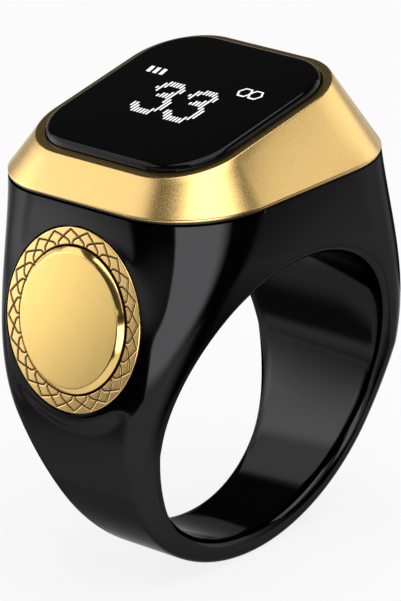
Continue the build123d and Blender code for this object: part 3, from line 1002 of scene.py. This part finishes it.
class RC_OT_signs(bpy.types.Operator):
    """Builds the lit dots of the display: two digits, a double loop and three bars"""

    bl_idname = "ring_counter.signs"
    bl_label = "Lit signs"

    def execute(self, context):
        head = context.scene.rc_head
        material = lit_finish(context.scene.rc_finishes)
        digits = DIGIT_THREE + shifted(DIGIT_THREE, head.digit_step / MM)
        loops = shifted([HEXAGON], -LOOP_SHIFT) + shifted([HEXAGON], LOOP_SHIFT)
        pitch = head.dot_pitch / MM
        gap = head.dot_gap / MM
        for name, lines, half, cell, spot, square in (
            ("lit_digits", digits, DIGIT_HALF, (pitch, gap), DIGITS_AT, False),
            ("lit_double_loop", loops, LOOP_HALF, (LOOP_CELL * pitch, 0), LOOPS_AT, False),
            ("lit_bars", BARS, BAR_HALF, (BAR_CELL * pitch, 0), BARS_AT, True),
        ):
            mesh = self.cells(lines, half, *cell, square)
            self.raise_cells(mesh, head, spot)
            piece = add_piece(name, mesh, material, "ring")
        return {"FINISHED"}

    def cells(self, lines, half, pitch, gap, square):
        """The cells of a flat grid that lie on some lines, with gaps between columns.

        The lines have round ends, or square ones at foot and top if asked.
        """
        xs, ys = zip(*(point for line in lines for point in line))
        low = Vector((min(xs) - half, min(ys) - half))
        columns = math.ceil((max(xs) + half - low.x) / pitch)
        rows = math.ceil((max(ys) + half - low.y) / pitch)
        mesh = bmesh.new()
        bmesh.ops.create_grid(mesh, x_segments=2 * columns, y_segments=rows, size=0.5)
        for vert in mesh.verts:
            pair, odd = divmod(round((vert.co.x + 0.5) * 2 * columns), 2)
            vert.co.x = low.x + pair * pitch + odd * (pitch - gap)
            vert.co.y = low.y + (vert.co.y + 0.5) * rows * pitch
        bmesh.ops.dissolve_degenerate(mesh, dist=NO_WIDTH, edges=mesh.edges)
        dark = []
        for face in mesh.faces:
            spot = face.calc_center_median().to_2d()
            off = off_line(spot, lines) > half
            past_end = square and not min(ys) < spot.y < max(ys)
            in_gap = gap and (spot.x - low.x) % pitch > pitch - gap
            if off or past_end or in_gap:
                dark.append(face)
        bmesh.ops.delete(mesh, geom=dark, context="FACES")
        return mesh

    def raise_cells(self, mesh, head, spot):
        """Lays cells on the glass, half sunk in it, and gives them their thickness."""
        tilted = display_place(head)
        sunk = head.lens_proud - LIT_SKIN / 2 * MM
        for vert in mesh.verts:
            along, above = vert.co.x + spot[0], vert.co.y + spot[1]
            vert.co = tilted @ Vector((above * MM, -along * MM, sunk))
        grown = bmesh.ops.extrude_face_region(mesh, geom=mesh.faces[:])["geom"]
        tops = [v for v in grown if isinstance(v, bmesh.types.BMVert)]
        bmesh.ops.translate(mesh, verts=tops, vec=tilted.to_3x3() @ Vector((0, 0, LIT_SKIN * MM)))


# Half an arch of the ornament, from its foot to its tip: shares of the ring's width and of the arches' pitch.
ARCH = (
    (0.86, 0.0),
    (0.8, 0.07),
    (0.72, 0.17),
    (0.6, 0.33),
    (0.46, 0.5),
    (0.35, 0.68),
    (0.25, 0.82),
    (0.15, 0.885),
    (0.05, 0.9),
)


class RC_OT_ornament(bpy.types.Operator):
    """Builds the engraved gold ring about the button"""

    bl_idname = "ring_counter.ornament"
    bl_label = "Ornament ring"

    steps_per_arch = 34
    rows = 30
    # Where an engraved line's floor ends and its side ends, in half widths.
    groove_floor, groove_side = 0.45, 1.25
    # Share of the engraving's depth from which it is all brown.
    stain = 0.7

    def execute(self, context):
        sizes = context.scene.rc_button
        place = button_place(sizes)
        edge = sizes.ring_edge
        count = sizes.arches * self.steps_per_arch

        def loop(radius, depth, dips=(0,)):
            points = []
            for i in range(count):
                turn = 2 * math.pi * i / count + sizes.arch_turn
                drop = depth + dips[i % len(dips)] * sizes.groove_depth
                points.append(place @ Vector((radius * math.cos(turn), radius * math.sin(turn), drop)))
            return points

        loops = [loop(sizes.ring_inner, sizes.well_depth), loop(sizes.ring_inner, edge)]
        for radius in spread(sizes.ring_inner + edge, sizes.ring - edge, self.rows + 1):
            loops.append(loop(radius, 0, self.engraving(sizes, radius)))
        loops += [loop(sizes.ring, edge), loop(sizes.ring, sizes.well_depth)]
        mesh = closed_sheet(loops)
        layer = mesh.verts.layers.float.new("line")
        into = place.inverted()
        for vert in mesh.verts:
            local = into @ vert.co
            radius = math.hypot(local.x, local.y)
            # The ring's inner wall, in the narrow gap round the button, is marked all brown: painted shade.
            if radius < sizes.ring_inner + WELD:
                vert[layer] = 1.0
            elif radius < sizes.ring - 0.5 * edge:
                vert[layer] = min(1.0, local.z / (self.stain * sizes.groove_depth))
        piece = add_piece("ornament", mesh, ornament_finish(context.scene.rc_finishes), "ring", 60.0)
        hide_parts("ornament_ring")
        return {"FINISHED"}

    def engraving(self, sizes, radius):
        """How deep the engraving is at a radius, as shares, in steps over one arch."""
        width = sizes.ring - sizes.ring_inner
        pitch = 2 * math.pi / sizes.arches * radius
        lines = []
        for shift in (-1, 0, 1, 2):
            for way in (-1, 1):
                lines.append([((shift + way * aside) * pitch, rise * width) for rise, aside in ARCH])
        floor, side = self.groove_floor * sizes.groove, self.groove_side * sizes.groove
        shares = []
        for step in range(self.steps_per_arch):
            spot = Vector((step / self.steps_per_arch * pitch, radius - sizes.ring_inner))
            shares.append(1 - smooth(floor, side, off_line(spot, lines)))
        return shares


class RC_OT_button(bpy.types.Operator):
    """Builds the round gold button with its polished bevel"""

    bl_idname = "ring_counter.button"
    bl_label = "Button"

    steps_round = 144
    # Width over which both edges of the bevel turn.
    soft_edge = 0.03 * MM

    def execute(self, context):
        sizes = context.scene.rc_button
        face = sizes.cap - sizes.cap_bevel
        top = -sizes.cap_proud
        low = top + sizes.cap_bevel_drop
        small = self.soft_edge
        profile = (
            (0, top),
            (0.5 * face, top),
            (face - 2 * small, top),
            (face - small, top),
            (face, top + 0.35 * small),
            (face + small, top + small),
            (sizes.cap - small, low - 0.7 * small),
            (sizes.cap - 0.25 * small, low + 0.2 * small),
            (sizes.cap, low + 1.2 * small),
            (sizes.cap, sizes.seal_low),
            (sizes.seal_root, sizes.seal_low),
            (sizes.seal_root, sizes.seal_high),
            (sizes.cap, sizes.seal_high),
            (sizes.cap, sizes.cap_depth),
            (0, sizes.cap_depth),
        )
        mesh = turned(profile, self.steps_round)
        polish = mesh.verts.layers.float.new("polish")
        painted_recess_shade = mesh.verts.layers.float.new("painted_recess_shade")
        for vert in mesh.verts:
            radius = math.hypot(vert.co.x, vert.co.y)
            vert[polish] = 1.0 if radius > face - 1.5 * small else 0.0
            # All below the bevel is marked for brown: painted shade in the gap round the button.
            vert[painted_recess_shade] = 1.0 if vert.co.z > low + small else 0.0
        mesh.transform(button_place(sizes))
        piece = add_piece("button_face", mesh, button_finish(context.scene.rc_finishes), "button", 28.0)
        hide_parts("button_cap")
        return {"FINISHED"}


# Colour, metal, roughness, grains per metre and unevenness of each finish inside, and the pieces that have it.
INNER_FINISHES = {
    "rubber_black": (
        (0.006, 0.006, 0.006), 0.0, 0.5, 4000.0, 0.3,
        ("bezel_gasket", "button_seal", "contact_seals"),
    ),
    "bond_grey": ((0.1, 0.1, 0.1), 0.0, 0.45, 3000.0, 0.2, ("lens_adhesive",)),
    "bond_clear": ((0.5, 0.52, 0.55), 0.0, 0.1, 1500.0, 0.1, ("optical_adhesive",)),
    "panel_dark": ((0.01, 0.011, 0.014), 0.0, 0.12, 2000.0, 0.3, ("oled_panel",)),
    "ribbon_amber": ((0.45, 0.16, 0.03), 0.0, 0.35, 2500.0, 0.25, ("oled_flex", "switch_flex")),
    "carrier_black": ((0.02, 0.02, 0.022), 0.0, 0.5, 5000.0, 0.35, ("display_carrier", "switch_case")),
    "board_green": ((0.012, 0.09, 0.035), 0.0, 0.35, 3500.0, 0.35, ("main_board",)),
    "chip_black": ((0.015, 0.015, 0.016), 0.0, 0.55, 6000.0, 0.3, ("radio_chip", "board_components")),
    "ceramic_white": ((0.75, 0.73, 0.68), 0.0, 0.5, 4000.0, 0.15, ("chip_antenna",)),
    "steel": (
        (0.58, 0.57, 0.55), 1.0, 0.3, 6000.0, 0.2,
        ("carrier_screws", "switch_stiffener", "switch_dome", "motor_can", "motor_base", "motor_shaft"),
    ),
    "tungsten": ((0.35, 0.34, 0.33), 1.0, 0.4, 5000.0, 0.25, ("motor_rotor",)),
    "magnet_nickel": ((0.5, 0.49, 0.47), 1.0, 0.25, 3000.0, 0.2, ("motor_magnet", "battery_tabs")),
    "cell_silver": ((0.62, 0.62, 0.63), 0.8, 0.38, 1200.0, 0.2, ("battery_cell",)),
    "foam_grey": ((0.12, 0.12, 0.13), 0.0, 0.9, 5000.0, 0.5, ("battery_pad",)),
    "contact_gold": ((0.83, 0.6, 0.25), 1.0, 0.22, 5000.0, 0.12, ("charge_contacts",)),
    "plunger_grey": ((0.2, 0.2, 0.21), 0.0, 0.45, 4000.0, 0.2, ("button_plunger", "switch_plunger")),
}


class RC_OT_inner(bpy.types.Operator):
    """Gives the pieces inside the ring their finishes"""

    bl_idname = "ring_counter.inner"
    bl_label = "Inner finishes"

    def execute(self, context):
        for name, (*values, nodes) in INNER_FINISHES.items():
            material = plain_finish(name, *values)
            for node in nodes:
                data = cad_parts[node].data
                data.materials.clear()
                data.materials.append(material)
        return {"FINISHED"}


class RC_OT_dome(bpy.types.Operator):
    """Builds the switch's snap dome"""

    bl_idname = "ring_counter.dome"
    bl_label = "Snap dome"

    rings = 24
    steps_round = 96

    def execute(self, context):
        sizes = context.scene.rc_button
        rise = sizes.dome_foot - sizes.dome_top
        ball = (sizes.dome**2 + rise**2) / (2 * rise)
        inner = ball - sizes.dome_skin
        middle = sizes.dome_top + ball
        profile = []
        for radius, angles in (
            (ball, spread(0, math.asin(sizes.dome / ball), self.rings)),
            (inner, spread(math.acos((ball - rise) / inner), 0, self.rings)),
        ):
            for turn in angles:
                profile.append((radius * math.sin(turn), middle - radius * math.cos(turn)))
        mesh = turned(profile, self.steps_round)
        place = button_place(sizes)
        mesh.transform(place)
        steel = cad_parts["switch_dome"].data.materials[0]
        piece = add_piece("snap_dome", mesh, steel, "ring")
        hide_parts("switch_dome")
        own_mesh(piece)
        return {"FINISHED"}


WHITE = (1, 1, 1, 1)
# What the lights and the camera point at.
AIM = Vector((0, 0, 4 * MM))
# Radius and rise of the floor, which turns up into a backdrop, in metres.
FLOOR = ((0, 0), (0.3, 0), (1.2, 0), (1.4, 0.03), (1.53, 0.11), (1.6, 0.24), (1.62, 0.5))
FLOOR_STEPS = 96
# How much of the floor's look is a plain glow, for the camera and in reflections.
CAMERA_GLOW, MIRRORED_GLOW = 0.86, 0.35
AMBIENT = 0.05
# Direction of each soft box, its distance, width and height in metres, and its brightness.
LAMPS = {
    "front_box": ((-0.262, -0.682, 0.682), 0.40, 0.32, 0.32, 1.0),
    "right_box": ((0.845, -0.45, 0.28), 0.35, 0.38, 0.29, 1.03),
    "top_box": ((-0.04, -0.2, 0.98), 0.50, 0.50, 0.50, 2.2),
    "left_box": ((-0.424, 0.734, 0.53), 0.35, 0.34, 0.26, 1.25),
}
# Cells along each side of a card, and the brightness of its dark parts.
CARD_STEPS = 60
CARD_DARK = 0.03
# How far a card that lies on the floor is above it, in millimetres.
CARD_LIFT = 0.05
# The photo's camera: its turns in degrees, its distance in metres, its focal length, picture and axis in
# pixels, and its sensor in millimetres.
AZIMUTH, ELEVATION, ROLL = 44.229, 21.299, -3.987
DISTANCE = 0.350987
FOCAL = 5500.0
PICTURE = (401.0, 601.0)
AXIS_AT = (205.789, 319.359)
SENSOR = 36.0


def floor_finish(tints):
    """Pale floor that keeps the shadow, shown near white by a glow of its own."""
    material, nodes = start_material("floor_pale")
    camera, glossy, through = (
        nodes.make("ShaderNodeLightPath", out=f"Is {kind} Ray")
        for kind in ("Camera", "Glossy", "Transmission")
    )
    share = (CAMERA_GLOW * camera).peak(MIRRORED_GLOW * glossy.peak(through))
    plain = nodes.make(
        "ShaderNodeBsdfPrincipled",
        sockets={"Base Color": rgba(tints.floor), "Roughness": 0.9, "Specular IOR Level": 0.0},
    )
    glow = nodes.make("ShaderNodeEmission", sockets={"Color": WHITE, "Strength": 1.0})
    show(nodes, nodes.make("ShaderNodeMixShader", sockets={0: share, 1: plain, 2: glow}))
    return material


def add_lamp(name, direction, distance, width, height, brightness):
    """A soft box that faces the ring, its brightness given as light per area."""
    data = bpy.data.lights.new(name, "AREA")
    data.shape = "RECTANGLE"
    data.size = width
    data.size_y = height
    data.energy = brightness * math.pi * width * height
    lamp = bpy.data.objects.new(name, data)
    bpy.context.scene.collection.objects.link(lamp)
    way = Vector(direction).normalized()
    lamp.location = AIM + way * distance
    lamp.rotation_euler = way.to_track_quat("Z", "Y").to_euler()
    lamp.visible_camera = False


def card_finish(name, strength):
    """A dark card that is bright where the mesh says so."""
    material, nodes = start_material(name)
    dark, bright = (
        nodes.make("ShaderNodeEmission", sockets={"Color": WHITE, "Strength": level})
        for level in (CARD_DARK, strength)
    )
    lit = marked(nodes, "lit")
    show(nodes, nodes.make("ShaderNodeMixShader", sockets={0: lit, 1: dark, 2: bright}))
    return material


def add_card(name, corner, along, up, strength, share):
    """A flat studio card that only reflections show, given by a corner and two sides, in millimetres.

    The share of its brightness comes from the distances from the corner along both sides.
    """
    corner, along, up = Vector(corner), Vector(along), Vector(up)

    def place(column, row):
        return (corner + along * column / CARD_STEPS + up * row / CARD_STEPS) * MM

    mesh = sheet(CARD_STEPS, CARD_STEPS, place)
    layer = mesh.verts.layers.float.new("lit")
    for vert in mesh.verts:
        offset = vert.co / MM - corner
        vert[layer] = share(offset.dot(along.normalized()), offset.dot(up.normalized()))
    card = add_piece(name, mesh, card_finish(name, strength), None)
    for rays in ("camera", "diffuse", "shadow", "transmission", "volume_scatter"):
        setattr(card, f"visible_{rays}", False)


# The shares of the cards' brightness, by the distances from their corners in millimetres.


def left_share(along, up):
    """Bright from its first third on, dimmer towards its end, its foot and its top.

    The wall of the finger hole mirrors a strip of it and its upper part, and the flank mirrors the rest.
    """
    lean = 3 * (1 - smooth(11, 18, up))
    across = smooth(-1, 20, along - lean) * (1 - 0.6 * smooth(34, 56, along))
    flank = (0.3 + 0.7 * smooth(0, 16, up)) * (1 - 0.35 * smooth(22, 34, up))
    wall = (0.15 + 0.75 * smooth(-8, 40, up)) * (1 - 0.5 * smooth(42, 52, up))
    strip = smooth(13, 18, along) * (1 - smooth(22, 28, along) * (1 - smooth(22, 32, up)))
    return across * (flank + (wall - flank) * strip)


def left_flag_share(along, up):
    """Dark below, and as bright as the floor at its top."""
    return smooth(20, 31, up)


def front_share(along, up):
    """Bright in a low band that is soft at the card's start and hard at its top and at the card's end."""
    return smooth(0, 14, along) * (0.28 + 0.72 * smooth(4, 11, up)) * (1 - smooth(24, 26, up))


def front_flag_share(along, up):
    """Dark at its start, and as bright as the floor at its end."""
    return smooth(20, 46, along)


def right_share(along, up):
    """As bright as the floor at both ends and at its top, and dark between them."""
    return 1 - smooth(0, 10, along) * (1 - smooth(16, 43, along)) * (1 - smooth(10, 25, up))


# The foot flag darkens the floor in front of the ring in reflections only: painted shade of the floor.
def foot_share(along, up):
    """As bright as the floor beside the ring and at both ends, and dark between them."""
    return 1 - smooth(0, 14, along) * (1 - smooth(20, 44, along)) * smooth(0, 9, up)


# The side flag darkens the floor beside the ring in reflections only: painted shade of the floor.
def side_share(along, up):
    """As bright as the floor at the ring's side and at the left card's foot, and dimmer between them."""
    to_card = 35.5 - 0.73 * along - 0.683 * up
    return 1 - 0.65 * smooth(0, 15, along) * smooth(0, 15, up) * smooth(2, 10, to_card)


# The back flag darkens the floor behind the ring in reflections only: painted shade of the floor.
def back_share(along, up):
    """As bright as the floor at its edges, and dark between them."""
    across = smooth(0, 4, along) * (1 - smooth(11, 18, along))
    return 1 - 0.88 * across * smooth(0, 4, up) * (1 - smooth(16, 22, up))


# Corner of each card above the floor and its two sides, in millimetres, its brightness and its share.
CARDS = {
    "left_card": ((-45.2, 20.1, 0), (43, 46, 0), (0, 0, 52), 2.8, left_share),
    "left_flag": ((-45.2, 20.1, 0), (-3.8, -47.1, 0), (0, 0, 40), 0.8, left_flag_share),
    "front_card": ((-6.7, -46, 0), (-37.4, 26.3, 0), (0, 0, 33), 2.9, front_share),
    "front_flag": ((-8, -44, 0), (38, 23, 0), (0, 0, 33), 0.8, front_flag_share),
    "right_flag": ((48, -4, 0), (-12, 42, 0), (0, 0, 25), 0.8, right_share),
    # The foot, side and back flags lie on the floor, and only reflections show them: painted shade of the floor
    # near the ring.
    "foot_flag": ((-14, -9, CARD_LIFT), (44, 0, 0), (0, -34, 0), 0.8, foot_share),
    "side_flag": ((-12.5, 3, CARD_LIFT), (-30, 0, 0), (0, 32, 0), 0.8, side_share),
    "back_flag": ((-12.5, 8, CARD_LIFT), (20, 0, 0), (0, 22, 0), 0.65, back_share),
}


class RC_OT_stage(bpy.types.Operator):
    """Sets up floor, studio light and camera"""

    bl_idname = "ring_counter.stage"
    bl_label = "Stage"

    def execute(self, context):
        scene = context.scene
        scene.view_settings.view_transform = "Standard"
        self.floor(scene)
        self.light(scene)
        self.camera(scene)
        return {"FINISHED"}

    def floor(self, scene):
        low = cad_box[0].z
        mesh = turned([(radius, low + rise) for radius, rise in FLOOR], FLOOR_STEPS)
        floor = add_piece("studio_floor", mesh, floor_finish(scene.rc_finishes), None, 60.0)

    def light(self, scene):
        world = bpy.data.worlds.new("studio")
        scene.world = world
        world.use_nodes = True
        background = world.node_tree.nodes["Background"].inputs
        background["Color"].default_value = WHITE
        background["Strength"].default_value = AMBIENT
        for name, values in LAMPS.items():
            add_lamp(name, *values)
        low = cad_box[0].z / MM
        for name, ((x, y, lift), *values) in CARDS.items():
            add_card(name, (x, y, low + lift), *values)

    def camera(self, scene):
        azimuth, rise, roll = (math.radians(turn) for turn in (AZIMUTH, ELEVATION, ROLL))
        away = Vector((-math.sin(azimuth), -math.cos(azimuth), 0))
        back = math.cos(rise) * away + Vector((0, 0, math.sin(rise)))
        right = Vector((math.cos(azimuth), -math.sin(azimuth), 0))
        up = back.cross(right)
        across = math.cos(roll) * right + math.sin(roll) * up
        upright = -math.sin(roll) * right + math.cos(roll) * up
        turn = Matrix((across, upright, back)).transposed()
        data = bpy.data.cameras.new("camera")
        camera = bpy.data.objects.new("camera", data)
        scene.collection.objects.link(camera)
        camera.matrix_world = Matrix.Translation(back * DISTANCE + AIM) @ turn.to_4x4()
        width, height = PICTURE
        data.sensor_width = SENSOR
        data.lens = FOCAL * SENSOR / height
        data.shift_x = (width / 2 - AXIS_AT[0]) / height
        data.shift_y = (AXIS_AT[1] - height / 2) / height
        data.clip_start = 0.01
        data.clip_end = 10.0
        scene.camera = camera


class RC_PT_panel(bpy.types.Panel):
    """Lists the steps that build the ring counter"""

    bl_idname = "RC_PT_panel"
    bl_label = "Ring counter"
    bl_space_type = "VIEW_3D"
    bl_region_type = "UI"
    bl_category = "Ring counter"

    def draw(self, context):
        for step in STEPS:
            self.layout.operator(step.bl_idname)


GROUPS = {
    "rc_body": BodySizes,
    "rc_head": HeadSizes,
    "rc_button": ButtonSizes,
    "rc_finishes": Finishes,
}
STEPS = (
    RC_OT_body,
    RC_OT_frame,
    RC_OT_glass,
    RC_OT_signs,
    RC_OT_ornament,
    RC_OT_button,
    RC_OT_inner,
    RC_OT_dome,
    RC_OT_stage,
)


def register():
    for group in GROUPS.values():
        bpy.utils.register_class(group)
    for name, group in GROUPS.items():
        setattr(bpy.types.Scene, name, PointerProperty(type=group))
    for step in STEPS:
        bpy.utils.register_class(step)
    bpy.utils.register_class(RC_PT_panel)


def unregister():
    bpy.utils.unregister_class(RC_PT_panel)
    for step in reversed(STEPS):
        bpy.utils.unregister_class(step)
    for name in GROUPS:
        delattr(bpy.types.Scene, name)
    for group in GROUPS.values():
        bpy.utils.unregister_class(group)


def main():
    register()
    bpy.ops.ring_counter.body()
    bpy.ops.ring_counter.frame()
    bpy.ops.ring_counter.glass()
    bpy.ops.ring_counter.signs()
    bpy.ops.ring_counter.ornament()
    bpy.ops.ring_counter.button()
    bpy.ops.ring_counter.inner()
    bpy.ops.ring_counter.dome()
    bpy.ops.ring_counter.stage()


if __name__ == "__main__":
    main()
